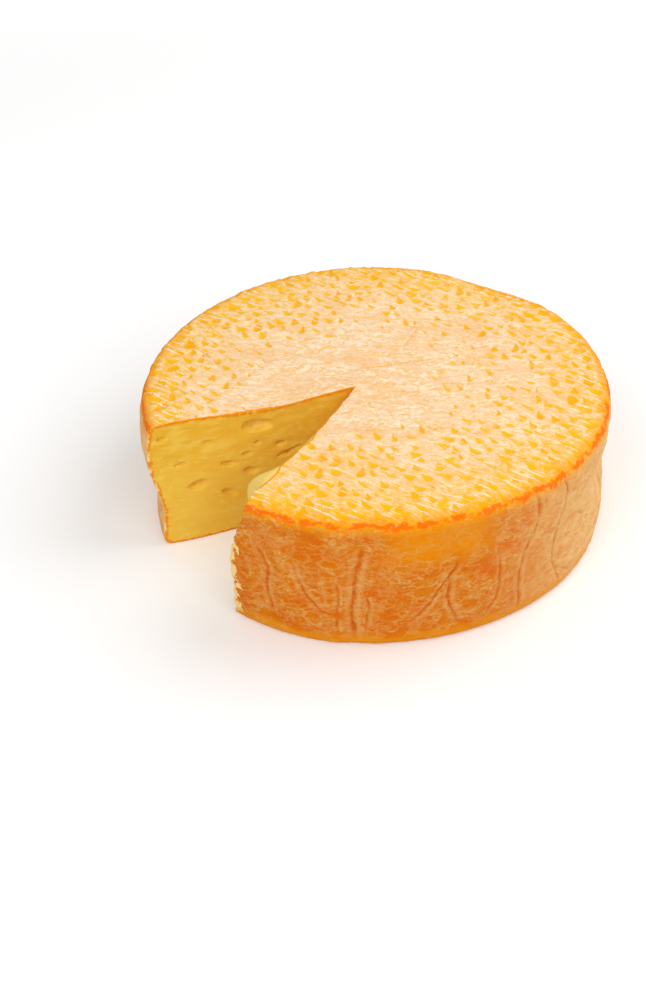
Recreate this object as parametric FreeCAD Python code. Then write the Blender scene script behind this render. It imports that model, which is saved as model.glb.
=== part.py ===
"""A soft washed-rind cheese: a low wheel with one wedge cut out of it.

The wheel stands on its flat foot. +Z is up, the origin is the middle of the foot's box, and the cut opens
towards -X and -Y. All lengths are in millimetres and all angles in degrees, counted from +X towards +Y.
"""
import FreeCAD
import Part

import math
import os

# Driving dimensions of the wheel.
wheel_radius = 90.8
wheel_height = 58.0
rim_round = 4.0  # how far the top edge is rounded off
foot_round = 3.4  # how far the bottom edge is tucked in
hub_radius = 4.0  # small flat at the middle of the top
sectors = 12  # the skin is made as this many sectors, each with a side patch and a top patch
columns_per_sector = 20  # control points round the wheel in each sector
side_rows = 15  # control points up the side, between the two rounded edges
top_rows = 15  # control points from the rim to the hub

# The wedge that was cut out. Its two walls meet at the apex, near the middle of the wheel.
apex_x = -8.2
apex_y = -5.0
left_wall_angle = -163.8
right_wall_angle = -120.6
rind_recess = 1.3  # how far the rind of the right wall has drawn back from the cut
wall_bulge = 4.2  # how far the soft paste has slumped out of the right wall under its rind
slump_depth = 10.0  # height over which the right wall rounds out under the rind
foot_bulge = 10.0  # how far the foot of the right wall reaches into the gap at the rim
lip_reach = 7.5  # a lip of paste that was drawn out of the right wall when the wedge left
lip_share = 0.71  # its distance from the apex, as a share of the radius
lip_level = 0.88  # its level
lip_half_width = 6.5
left_wall_wave = 0.7  # waviness that the knife left on the left wall
cut_clearance = 15.0  # how far the cutting tool reaches past the wheel

# Broad unevenness of the outline: (angle, half-width in degrees, amount in mm).
plan_swells = [
    (124, 16, 0.8),
    (152, 20, 0.8),
    (40, 14, 0.6),
    (-108, 9, 0.8),
    (-68, 20, -1.2),
    (-8, 22, -1.0),
]

# Bulges and waists of the side: (angle, half-width in degrees, level, half-height of level, amount in mm).
side_swells = [
    (-172, 22, 0.72, 0.22, 3.2),
    (-168, 26, 0.30, 0.16, -1.8),
    (-124, 16, 0.45, 0.25, 1.0),
    (-86, 12, 0.62, 0.20, 1.2),
    (-66, 14, 0.38, 0.22, 1.6),
    (-50, 10, 0.75, 0.16, 1.0),
    (-17, 12, 0.56, 0.13, -1.6),
    (-20, 18, 0.22, 0.14, 1.0),
    (-12, 20, 0.88, 0.12, 1.2),
    (28, 18, 0.58, 0.20, 1.8),
    (66, 20, 0.46, 0.18, -1.6),
    (104, 22, 0.60, 0.24, 2.2),
    (146, 18, 0.40, 0.20, 1.2),
]

# Dents and swells of the top: (angle, share of the radius, half-width in mm, height in mm).
top_swells = [
    (54, 1.02, 17, -2.3),
    (50, 0.66, 20, -1.5),
    (96, 0.84, 24, 0.7),
    (168, 0.72, 22, -0.9),
    (-157, 0.44, 20, -1.7),
    (-152, 0.13, 9, 1.0),
    (-60, 0.55, 26, 0.8),
    (-18, 0.70, 22, -0.8),
    (8, 0.30, 20, -0.6),
]

# Upright folds that the cheese cloth pressed into the side, each a valley followed from level to level:
# (depth in mm, half-width in mm, [(level, angle), ...]).
side_folds = [
    (1.1, 2.8, [(0.82, -123.0), (0.62, -119.0), (0.18, -119.0)]),
    (1.0, 2.8, [(0.72, -111.2), (0.44, -110.5), (0.16, -106.5)]),
    (1.9, 3.4, [(0.86, -94.8), (0.60, -97.8), (0.08, -98.2)]),
    (1.3, 2.8, [(0.74, -75.2), (0.50, -76.6), (0.12, -75.6)]),
    (0.9, 2.8, [(0.64, -64.2), (0.30, -63.4), (0.14, -66.0)]),
    (1.2, 2.8, [(0.88, -53.2), (0.74, -52.8), (0.54, -56.4), (0.12, -57.0)]),
    (1.5, 3.0, [(0.90, -43.8), (0.78, -42.9), (0.50, -46.6), (0.14, -43.8)]),
    (1.2, 2.8, [(0.72, -31.0), (0.46, -32.6), (0.20, -27.6)]),
    (1.7, 3.4, [(0.86, -14.4), (0.56, -18.0), (0.24, -12.0)]),
]

# The same folds go on round the back, where they are spaced more evenly.
back_fold_angles = [4, 23, 41, 58, 79, 97, 116, 133, 154, 172]
back_fold_depth = 1.3
back_fold_half_width = 3.2

# Openings in the paste that the cut has laid bare:
# (distance from the apex as a share of the radius, level, half-length, half-height, tilt in degrees).
left_wall_openings = [
    (0.447, 0.850, 6.4, 2.9, 8),
    (0.346, 0.664, 2.2, 1.2, 5),
    (0.453, 0.710, 1.5, 0.9, 0),
    (0.500, 0.638, 2.1, 1.1, 4),
    (0.307, 0.576, 6.2, 1.3, -17),
    (0.670, 0.783, 2.0, 1.0, 0),
    (0.859, 0.871, 2.0, 1.0, -6),
    (0.584, 0.586, 3.2, 1.4, 10),
    (0.793, 0.638, 2.8, 1.3, -8),
    (0.485, 0.491, 3.4, 1.5, 14),
    (0.727, 0.457, 4.2, 2.0, -14),
    (0.242, 0.388, 3.6, 1.5, 24),
    (0.589, 0.345, 3.2, 1.7, 30),
    (0.385, 0.284, 2.6, 1.3, 18),
]
right_wall_openings = [
    (0.220, 0.586, 3.2, 1.4, 10),
    (0.363, 0.664, 3.0, 1.5, 28),
    (0.430, 0.534, 5.2, 1.9, 22),
    (0.551, 0.500, 3.2, 1.7, 34),
    (0.606, 0.638, 2.0, 1.2, 0),
    (0.666, 0.362, 3.8, 2.4, 40),
    (0.738, 0.526, 4.4, 1.8, 30),
    (0.804, 0.293, 3.0, 2.0, 48),
    (0.507, 0.250, 2.4, 1.4, 12),
]
opening_depth_share = 0.9  # depth of an opening, as a share of its half-height, plus
opening_depth_extra = 1.0  # this much in mm


def bump(distance, half_width):
    """A smooth bell: 1 at the middle, a half at its half-width, and fading out past it."""
    return math.exp(-0.69 * (distance / half_width) ** 2)


def turn_between(a, b):
    """The shorter turn from angle b to angle a."""
    return (a - b + 180.0) % 360.0 - 180.0


def along_path(path, level):
    """The angle of a fold at a level, from its (level, angle) points, which run downwards."""
    if level >= path[0][0]:
        return path[0][1]
    for (upper, from_angle), (lower, to_angle) in zip(path, path[1:]):
        if level >= lower:
            share = (upper - level) / (upper - lower)
            return from_angle + share * (to_angle - from_angle)
    return path[-1][1]


def fold_strength(path, level):
    """1 along a fold, fading to 0 just past its two ends."""
    fade = 0.05
    above = (level - path[0][0]) / fade
    below = (path[-1][0] - level) / fade
    past = max(above, below, 0.0)
    return bump(past, 1.0)


def back_fold_path(number, angle):
    """A back fold leans a little, one way and then the other."""
    lean = 2.4 * math.sin(2.1 * number)
    top = 0.86 - 0.10 * (number % 3)
    bottom = 0.12 + 0.08 * ((number + 1) % 3)
    middle = 0.5 * (top + bottom)
    return [(top, angle + lean), (middle, angle - 0.8 * lean), (bottom, angle + 0.4 * lean)]


def all_folds():
    """Every fold of the side as (depth, half-width, path)."""
    folds = list(side_folds)
    for number, angle in enumerate(back_fold_angles):
        depth = back_fold_depth * (1.0 + 0.35 * math.sin(1.7 * number))
        folds.append((depth, back_fold_half_width, back_fold_path(number, angle)))
    return folds


def fold_offset(folds, angle, level):
    """How far the folds pull the side in at an angle and a level."""
    inward = 0.0
    for depth, half_width, path in folds:
        turn = turn_between(angle, along_path(path, level))
        across = math.radians(turn) * wheel_radius
        if abs(across) < 4.0 * half_width:
            # the cloth also pushes up a low ridge on each side of the valley
            valley = bump(across, half_width) - 0.28 * bump(abs(across) - 2.3 * half_width, half_width)
            inward += depth * valley * fold_strength(path, level)
    return inward


def side_radius(folds, angle, level):
    """Radius of the side at an angle and a level, which is 0 at the foot and 1 at the top."""
    radius = wheel_radius
    for middle, half_width, amount in plan_swells:
        radius += amount * bump(turn_between(angle, middle), half_width)
    for middle, half_width, at_level, half_height, amount in side_swells:
        around = bump(turn_between(angle, middle), half_width)
        radius += amount * around * bump(level - at_level, half_height)
    return radius - fold_offset(folds, angle, level)


def top_height(angle, radius):
    """Height of the top surface at a place given by its angle and radius."""
    x = radius * math.cos(math.radians(angle))
    y = radius * math.sin(math.radians(angle))
    height = wheel_height
    for middle, share, half_width, amount in top_swells:
        swell_x = share * wheel_radius * math.cos(math.radians(middle))
        swell_y = share * wheel_radius * math.sin(math.radians(middle))
        height += amount * bump(math.hypot(x - swell_x, y - swell_y), half_width)
    return height


def rind_poles(folds, angle):
    """Control points of the skin at one angle, from the foot up the side and over the top to the hub."""
    foot_level = foot_round / wheel_height
    rim_level = 1.0 - rim_round / wheel_height
    profile = []

    # the foot lies flat and turns up into the side
    foot_radius = side_radius(folds, angle, 0.0)
    profile.append((foot_radius - 1.4 * foot_round, 0.0))
    profile.append((foot_radius - 0.6 * foot_round, 0.0))
    profile.append((foot_radius - 0.12 * foot_round, 0.35 * foot_round))

    for row in range(side_rows):
        level = foot_level + (rim_level - foot_level) * row / (side_rows - 1)
        profile.append((side_radius(folds, angle, level), level * wheel_height))

    # the rim rolls over into the top, at whatever height the top has there
    rim_radius = side_radius(folds, angle, 1.0)
    rim_top = top_height(angle, rim_radius)
    profile.append((rim_radius - 0.10 * rim_round, rim_top - 0.42 * rim_round))
    profile.append((rim_radius - 0.50 * rim_round, rim_top - 0.08 * rim_round))

    outer = rim_radius - 1.3 * rim_round
    for row in range(top_rows):
        radius = outer + (hub_radius - outer) * row / (top_rows - 1)
        profile.append((radius, top_height(angle, radius)))

    # the last ring is level, so that the hub closes it as a flat disc
    profile[-1] = (hub_radius, top_height(0.0, 0.0))
    cosine = math.cos(math.radians(angle))
    sine = math.sin(math.radians(angle))
    return [FreeCAD.Vector(radius * cosine, radius * sine, z) for radius, z in profile]


def make_skin():
    """The skin of the whole wheel as one smooth surface that closes on itself."""
    folds = all_folds()
    columns = sectors * columns_per_sector
    poles = [rind_poles(folds, 360.0 * column / columns) for column in range(columns)]
    degree = 3
    up_knots = [float(k) for k in range(len(poles[0]) - degree + 1)]
    up_mults = [degree + 1] + [1] * (len(up_knots) - 2) + [degree + 1]
    round_knots = [float(k) for k in range(columns + 1)]
    round_mults = [1] * (columns + 1)
    skin = Part.BSplineSurface()
    skin.buildFromPolesMultsKnots(
        poles, round_mults, up_mults, round_knots, up_knots, True, False, degree, degree
    )
    return skin, up_knots[-1]


def open_rings(shell):
    """The closed rings of a shell's free edges, each of which belongs to one face only."""
    uses = {}
    for face in shell.Faces:
        for edge in face.Edges:
            uses.setdefault(edge.hashCode(), []).append(edge)
    lone = [edges[0] for edges in uses.values() if len(edges) == 1]
    return [Part.Wire(ring) for ring in Part.sortEdges(lone)]


def make_wheel():
    """The whole wheel, before it is cut: a skin of patches, a flat foot and a small flat hub."""
    skin, top_knot = make_skin()
    rim_knot = float(side_rows + 3)
    faces = []
    for sector in range(sectors):
        start = float(sector * columns_per_sector)
        end = start + columns_per_sector
        for lower, upper in [(0.0, rim_knot), (rim_knot, top_knot)]:
            patch = skin.copy()
            patch.segment(start, end, lower, upper)
            faces.append(patch.toShape())
    skin_shell = Part.makeShell(faces)
    skin_shell.sewShape()
    faces += [Part.Face(ring) for ring in open_rings(skin_shell)]
    shell = Part.makeShell(faces)
    shell.sewShape()
    wheel = Part.makeSolid(Part.Shell(shell.Faces))
    if wheel.Volume < 0:
        wheel.reverse()
    return wheel


def wall_point(wall_angle, along, out, z):
    """A point on a cut wall: so far from the apex, so far into the gap, at a height."""
    direction = math.radians(wall_angle)
    # the gap lies between the two walls, so each wall's way out turns towards the other wall
    side = 1.0 if wall_angle == left_wall_angle else -1.0
    x = apex_x + along * math.cos(direction) - side * out * math.sin(direction)
    y = apex_y + along * math.sin(direction) + side * out * math.cos(direction)
    return FreeCAD.Vector(x, y, z)


def left_wall_out(along, z):
    """The left wall was cut nearly flat, and is a little wavy."""
    fade = min(1.0, along / 20.0)
    return left_wall_wave * fade * math.sin(along / 9.0 + z / 17.0)


def right_wall_out(along, z):
    """The right wall has slumped: it rounds out under the rind, and most at the foot of the rim."""
    share = min(1.0, along / wheel_radius)
    middle = math.sin(min(1.0, 1.15 * share) * math.pi)
    below = max(0.0, min(1.0, (wheel_height - z) / slump_depth))
    rounding = math.sin(below * math.pi / 2.0)
    lower = max(0.0, min(1.0, (wheel_height - z) / (0.5 * wheel_height)))
    easing = lower * lower * (3.0 - 2.0 * lower)
    under_rind = max(0.0, min(1.0, (wheel_height - z) / (0.5 * slump_depth)))
    lip_shape = bump(along - lip_share * wheel_radius, lip_half_width)
    lip_shape *= bump(z / wheel_height - lip_level, 0.16)
    lip = lip_reach * lip_shape * math.sin(under_rind * math.pi / 2.0)
    return middle * (wall_bulge * rounding - rind_recess) + foot_bulge * share**2.2 * easing + lip


def wall_curve(wall_angle, out, z):
    """One level of a cut wall, as a smooth curve from the apex to beyond the rim."""
    reach = wheel_radius + cut_clearance
    stations = 18
    points = []
    for station in range(stations + 1):
        along = reach * station / stations
        amount = out(along, z) if station else 0.0
        points.append(wall_point(wall_angle, along, amount, z))
    curve = Part.BSplineCurve()
    curve.interpolate(points)
    return curve, points[0], points[-1]


def make_wedge_tool():
    """What the knife takes out: a wedge with the shape of the two cut walls."""
    levels = 16
    bottom = -cut_clearance / 3.0
    top = wheel_height + cut_clearance / 3.0
    wires = []
    for number in range(levels + 1):
        z = bottom + (top - bottom) * number / levels
        left, _, left_end = wall_curve(left_wall_angle, left_wall_out, z)
        right, _, right_end = wall_curve(right_wall_angle, right_wall_out, z)
        closing = Part.LineSegment(left_end, right_end)
        wires.append(Part.Wire([left.toShape(), closing.toShape(), right.toShape()]))
    return Part.makeLoft(wires, True, False)


def make_opening(wall_angle, out, opening):
    """One opening of the paste: a flattened hollow that breaks the cut wall."""
    share, level, half_length, half_height, tilt = opening
    along = share * wheel_radius
    z = level * wheel_height
    depth = opening_depth_share * half_height + opening_depth_extra
    middle = wall_point(wall_angle, along, out(along, z), z)
    # the poles of the ball point into and out of the paste, so that the wall cuts it cleanly round its waist
    ball = Part.makeSphere(1.0)
    ball.rotate(FreeCAD.Vector(0, 0, 0), FreeCAD.Vector(1, 0, 0), 90.0)
    shape = FreeCAD.Matrix()
    shape.scale(FreeCAD.Vector(half_length, depth, half_height))
    hollow = ball.transformGeometry(shape)
    hollow.rotate(FreeCAD.Vector(0, 0, 0), FreeCAD.Vector(0, 1, 0), -tilt)
    hollow.rotate(FreeCAD.Vector(0, 0, 0), FreeCAD.Vector(0, 0, 1), wall_angle)
    hollow.translate(middle)
    return hollow


def make_cheese():
    """The wheel with its wedge cut out and the openings of the paste laid bare."""
    cheese = make_wheel().cut(make_wedge_tool())
    hollows = [make_opening(left_wall_angle, left_wall_out, o) for o in left_wall_openings]
    hollows += [make_opening(right_wall_angle, right_wall_out, o) for o in right_wall_openings]
    cheese = cheese.cut(hollows)
    solid = max(cheese.Solids, key=lambda piece: piece.Volume)
    box = solid.optimalBoundingBox()
    solid.translate(FreeCAD.Vector(-box.Center.x, -box.Center.y, -box.ZMin))
    return solid


os.makedirs("parts", exist_ok=True)
cheese_wheel = make_cheese()
cheese_wheel.exportStep("parts/cheese_wheel.step")
print("valid", cheese_wheel.isValid(), "volume cm3", round(cheese_wheel.Volume / 1000.0, 1))
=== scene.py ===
import math
import random

import bmesh
import bpy
import numpy as np
from mathutils import Matrix, Vector
from mathutils.bvhtree import BVHTree
from mathutils.kdtree import KDTree


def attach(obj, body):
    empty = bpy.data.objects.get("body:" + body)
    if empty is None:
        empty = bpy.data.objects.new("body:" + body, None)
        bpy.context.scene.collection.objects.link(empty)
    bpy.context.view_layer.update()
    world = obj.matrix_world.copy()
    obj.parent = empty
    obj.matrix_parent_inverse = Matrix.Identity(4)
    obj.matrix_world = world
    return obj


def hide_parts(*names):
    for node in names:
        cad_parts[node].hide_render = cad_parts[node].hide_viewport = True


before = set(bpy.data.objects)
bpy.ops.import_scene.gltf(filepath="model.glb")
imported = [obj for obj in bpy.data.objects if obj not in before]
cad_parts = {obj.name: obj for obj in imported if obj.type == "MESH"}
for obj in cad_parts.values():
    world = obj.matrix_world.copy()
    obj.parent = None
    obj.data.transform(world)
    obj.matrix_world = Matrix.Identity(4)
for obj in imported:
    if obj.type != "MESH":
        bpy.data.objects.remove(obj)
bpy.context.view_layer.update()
mm = 0.001


def pickOnly(piece):
    bpy.ops.object.select_all(action="DESELECT")
    piece.select_set(True)
    bpy.context.view_layer.objects.active = piece


def applyModifier(piece, kind, **settings):
    pickOnly(piece)
    modifier = piece.modifiers.new(kind.lower(), kind)
    for name, value in settings.items():
        setattr(modifier, name, value)
    bpy.ops.object.modifier_apply(modifier=modifier.name)


def colour(red, green, blue):
    # a colour as a paint program shows it, from 0 to 255, turned into Blender's linear one
    def straight(level):
        share = level / 255
        return share / 12.92 if share <= 0.04045 else ((share + 0.055) / 1.055) ** 2.4
    return (straight(red), straight(green), straight(blue), 1.0)


def addNode(tree, kind, inputs=None, **choices):
    made = tree.nodes.new(kind)
    for name, value in choices.items():
        setattr(made, name, value)
    for name, value in (inputs or {}).items():
        if isinstance(value, bpy.types.NodeSocket):
            tree.links.new(value, made.inputs[name])
        else:
            made.inputs[name].default_value = value
    return made


def calc(tree, operation, *values):
    return addNode(tree, "ShaderNodeMath", dict(enumerate(values)), operation=operation).outputs[0]


def calcVector(tree, operation, *values):
    made = addNode(tree, "ShaderNodeVectorMath", dict(enumerate(values)), operation=operation)
    return made.outputs["Value" if operation in ("DOT_PRODUCT", "LENGTH", "DISTANCE") else "Vector"]


def ease(tree, value, start, end):
    # 0 before start, 1 after end and smooth between; start may be the larger
    made = addNode(tree, "ShaderNodeMapRange", {"Value": value, "From Min": start, "From Max": end},
                   interpolation_type="SMOOTHSTEP")
    return made.outputs["Result"]


def multiply(tree, first, *others):
    for other in others:
        first = calc(tree, "MULTIPLY", first, other)
    return first


def scaleAdd(tree, value, scale, added):
    return calc(tree, "MULTIPLY_ADD", value, scale, added)


def centred(tree, value):
    return calc(tree, "SUBTRACT", value, 0.5)


def awayFrom(tree, value, middle):
    return calc(tree, "ABSOLUTE", calc(tree, "SUBTRACT", value, middle))


def between(tree, value, start, full, fullEnd, end):
    # 1 from full to fullEnd, and 0 before start and after end
    return multiply(tree, ease(tree, value, start, full), ease(tree, value, end, fullEnd))


def dot(tree, place, x, y):
    return calcVector(tree, "DOT_PRODUCT", place, (x, y, 0))


def flatVector(tree, x, y):
    return addNode(tree, "ShaderNodeCombineXYZ", {0: x, 1: y}).outputs[0]


def axis(tree, vector, number):
    return addNode(tree, "ShaderNodeSeparateXYZ", {0: vector}).outputs[number]


def blendColours(tree, factor, first, second):
    made = tree.nodes.new("ShaderNodeMix")
    made.data_type = "RGBA"
    for place, value in ((0, factor), (6, first), (7, second)):
        if isinstance(value, bpy.types.NodeSocket):
            tree.links.new(value, made.inputs[place])
        else:
            made.inputs[place].default_value = value
    return made.outputs[2]


def paintLayers(tree, base, layers):
    # lays colours over a base, each as (mask, how strongly, colour)
    for mask, amount, tone in layers:
        base = blendColours(tree, multiply(tree, mask, amount), base, tone)
    return base


def cloud(tree, place, name, output=0):
    # one of the cheese's noises, turned into a mask if it has two ends
    stretch, detail, rough, twist, *ends = clouds[name]
    made = addNode(tree, "ShaderNodeTexNoise", {
        "Vector": calcVector(tree, "DIVIDE", place, stretch), "Scale": 1.0, "Detail": detail,
        "Roughness": rough, "Distortion": twist}).outputs[output]
    return ease(tree, made, *ends) if ends else made


def wander(tree, place, name, amount):
    # moves a place about in clouds, by about half the amount at most, in mm
    off = calcVector(tree, "SUBTRACT", cloud(tree, place, name, "Color"), (0.5, 0.5, 0.5))
    return calcVector(tree, "ADD", place, calcVector(tree, "MULTIPLY", off, amount))


def readMark(tree, name, vector=False):
    # a mark that was written on the mesh, in either kind of node tree
    if tree.bl_idname == "GeometryNodeTree":
        made = tree.nodes.new("GeometryNodeInputNamedAttribute")
        made.data_type = "FLOAT_VECTOR" if vector else "FLOAT"
        made.inputs["Name"].default_value = name
        return made.outputs["Attribute"]
    made = addNode(tree, "ShaderNodeAttribute", attribute_name=name)
    return made.outputs["Vector" if vector else "Fac"]


def placeInMm(tree):
    # where the surface is, in mm; the piece sits at the origin, so both kinds of tree agree
    if tree.bl_idname == "GeometryNodeTree":
        source = tree.nodes.new("GeometryNodeInputPosition").outputs[0]
    else:
        source = tree.nodes.new("ShaderNodeTexCoord").outputs["Object"]
    return calcVector(tree, "DIVIDE", source, (mm, mm, mm))


def newGroup(name, kind, inputs, outputs):
    # an empty node group with named sockets; gives the tree, its inputs and its output node
    tree = bpy.data.node_groups.new(name, kind)
    for socket, socketType in inputs.items():
        tree.interface.new_socket(socket, in_out="INPUT", socket_type="NodeSocket" + socketType)
    for socket, socketType in outputs.items():
        tree.interface.new_socket(socket, in_out="OUTPUT", socket_type="NodeSocket" + socketType)
    return tree, tree.nodes.new("NodeGroupInput"), tree.nodes.new("NodeGroupOutput")


def useGroup(tree, group, inputs):
    return addNode(tree, tree.bl_idname.replace("Tree", "Group"), inputs, node_tree=group).outputs


def heading(angle):
    # the step of length 1 at an angle in degrees, as x and y
    return math.cos(math.radians(angle)), math.sin(math.radians(angle))


# Where the cheese's parts are, in mm and in degrees round its axis, from +X towards +Y.
wheel = {
    "middle": (1.47, -0.30),   # the wheel's axis in the frame
    "gapMiddle": -142.2,       # the way that the cut-out wedge points
    "gapHalf": 22.5,
    "apex": (-8.2, -5.0),      # where the two cut walls meet, from the axis
    "leftWall": -163.8,
    "rightWall": -120.6,
    "radius": 90.8,
    "topStart": 50.0,          # no lower than this does the top begin
    "feelHeight": 51.5,        # the height at which the rim's radius is felt
    "feelInside": 6.0,         # how far inside the rim its height is felt
    "lipEnd": 84.0,            # how far out from the axis the soft lip may reach
    "voxel": 0.62,             # edge of the mesh before it is thinned
    "triangles": 195000,
    "cutAngle": 42.0,          # an edge sharper than this parts the rind from the cut paste
    "outside": -99.0,          # stands for far away from the paste
}

# The print of the draining mat: rows of drop-shaped pits. Each angle is seen from above.
matPrint = {
    "pitch": 6.55,
    "rowA": -5.0,
    "rowB": 58.0,
    "drift": (6.5, 6.5, 0.0),  # how far the rows wander, as the cloth did
    "dropAngle": -62.0,
    "askew": 1.1,         # how far the pits are turned from one another, in radians
    "scatter": 0.56,      # how far they stray from their rows, as a share of the pitch
    "halfLength": 2.6,
    "halfWidth": 1.45,
    "taper": 0.7,
    "squareness": 2.6,    # 2 is an oval, more is squarer
    "ragged": 1.3,
    "threadAngle": -37.0,
    "threadGap": 3.27,
    "threadWidth": 0.42,
    "threadRagged": 0.8,
    "strokeLength": 6.0,
    "strokeWidth": 0.7,
    # by angle, how far from the axis the print starts to show and where it is at its fullest
    "reach": [(-175, 50, 80), (-150, 48, 76), (-122, 36, 58), (-95, 32, 56), (-62, 30, 58), (-35, 20, 64),
              (-5, 18, 80), (30, 18, 80), (62, 30, 66), (90, 38, 66), (122, 32, 58), (150, 40, 72)],
}

# Every noise of the cheese: (size of its blobs in mm on each axis, detail, roughness, twist), and for a mask
# also the two values between which it goes from 0 to 1.
clouds = {
    # the mat's print
    "drift": ((19, 19, 19), 1.0, 0.5, 0.0),
    "pitEdges": ((1.1, 1.1, 1.1), 2.0, 0.6, 0.0),
    "threadWear": ((8, 8, 8), 2.0, 0.5, 0.0, 0.42, 0.60),
    "hatch": ((1, 1, 1), 2.0, 0.55, 0.3, 0.54, 0.68),
    # the creases
    "creaseEdges": ((2.0, 2.0, 2.6), 3.0, 0.6, 0.0),
    "creaseDepth": ((5, 5, 5), 2.0, 0.5, 0.0, 0.32, 0.60),
    # the bloom of the side
    "patch": ((10, 5, 40), 4.0, 0.66, 0.0, 0.46, 0.60),
    "bend": ((3.6, 3.0, 40), 3.0, 0.6, 0.0),
    "wideNet": ((9, 6, 40), 3.0, 0.6, 0.0, 0.40, 0.50),
    "fineNet": ((7, 9, 40), 3.0, 0.6, 0.0, 0.48, 0.58),
    "flecks": ((2.4, 1.5, 40), 3.0, 0.65, 0.5, 0.58, 0.66),
    "worn": ((0.9, 0.7, 40), 2.0, 0.6, 0.0, 0.35, 0.55),
    # the relief
    "streak": ((3.6, 1.8, 3.0), 3.0, 0.6, 0.8),
    "mottle": ((2.2, 1.9, 2.0), 3.0, 0.6, 0.0),
    "swell": ((13.0, 10.0, 10.0), 2.0, 0.5, 0.0),
    "rimLumps": ((3.4, 3.4, 3.4), 2.0, 0.55, 0.0),
    "sideGrain": ((3.2, 2.0, 9.0), 3.0, 0.6, 0.0),
    "smear": ((7.0, 7.0, 2.2), 3.0, 0.6, 0.0),
    "hollowFill": ((4, 4, 4), 2.0, 0.5, 0.0, 0.30, 0.62),
    "outerTear": ((3.0, 3.0, 3.0), 4.0, 0.65, 0.0),
    "edgeTear": ((1.8, 1.8, 1.8), 3.0, 0.65, 0.0),
    # the colours of the rind
    "topStreaks": ((3.8, 1.9, 3.2), 4.0, 0.68, 1.0, 0.44, 0.57),
    # tan tone, which also stands as painted shade for the top's broad swells
    "tanAndSwellShade": ((20.0, 14.0, 16.0), 4.0, 0.6, 0.0, 0.46, 0.62),
    "blush": ((5.0, 3.6, 4.0), 3.0, 0.6, 0.0, 0.48, 0.62),
    "stain": ((2.6, 1.9, 2.2), 3.0, 0.65, 0.4, 0.55, 0.66),
    "topMottle": ((1.7, 1.2, 1.4), 3.0, 0.6, 0.0),
    "rimSmear": ((3.2, 2.2, 3.0), 3.0, 0.6, 0.5, 0.50, 0.62),
    "rust": ((3.4, 2.6, 3.0), 3.0, 0.65, 0.4, 0.52, 0.64),
    "hairs": ((8.0, 0.8, 5.0), 3.0, 0.6, 0.8, 0.61, 0.69),
    "sideDeep": ((8.0, 4.5, 40.0), 4.0, 0.6, 0.0),
    "dust": ((0.9, 0.7, 40.0), 2.0, 0.6, 0.0, 0.56, 0.68),
    "rimEdges": ((3.0, 3.0, 3.0), 3.0, 0.6, 0.0),
    "redLine": ((4.5, 4.5, 4.5), 3.0, 0.5, 0.0, 0.36, 0.50),
    "specks": ((2.0, 1.6, 1.3), 3.0, 0.65, 0.0, 0.58, 0.70),
    # the colours of the paste
    "pasteSmears": ((8.0, 8.0, 2.6), 4.0, 0.6, 0.4, 0.40, 0.64),
    "pastePatches": ((13.0, 13.0, 8.0), 3.0, 0.5, 0.0, 0.45, 0.62),
    "pasteScraps": ((3.5, 3.5, 1.1), 3.0, 0.6, 0.5),
    "rindLine": ((1.8, 1.8, 1.8), 3.0, 0.65, 0.0),
    "torn": ((2.6, 2.6, 3.4), 2.0, 0.55, 0.0, 0.54, 0.60),
    "tornScraps": ((3.2, 3.2, 4.4), 3.0, 0.6, 0.0),
    # what the mesh is too coarse for
    "grain": ((0.9, 0.9, 0.9), 3.0, 0.6, 0.0),
    "weave": ((2.0, 0.9, 1.2), 3.0, 0.6, 0.0),
}

# How far the broad folds of the side are filled up again beside their sharp creases, in mm:
# (amount, half-width, [(angle, height), ...]).
foldFills = [
    (0.6, 2.8, [(-123.0, 47.6), (-119.0, 36.0), (-119.0, 10.4)]),
    (0.5, 2.8, [(-111.2, 41.8), (-110.5, 25.5), (-106.5, 9.3)]),
    (1.1, 3.4, [(-94.8, 50.0), (-97.8, 34.8), (-98.2, 4.6)]),
    (0.8, 2.8, [(-75.2, 43.0), (-76.6, 29.0), (-75.6, 7.0)]),
    (0.5, 2.8, [(-64.2, 37.0), (-63.4, 17.4), (-66.0, 8.1)]),
    (0.7, 2.8, [(-53.2, 51.0), (-52.8, 43.0), (-56.4, 31.3), (-57.0, 7.0)]),
    (0.9, 3.0, [(-43.8, 52.0), (-42.9, 45.0), (-46.6, 29.0), (-43.8, 8.0)]),
    (0.6, 2.8, [(-31.0, 42.0), (-32.6, 26.7), (-27.6, 11.6)]),
    (0.9, 3.4, [(-14.4, 50.0), (-18.0, 32.5), (-12.0, 14.0)]),
]

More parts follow.
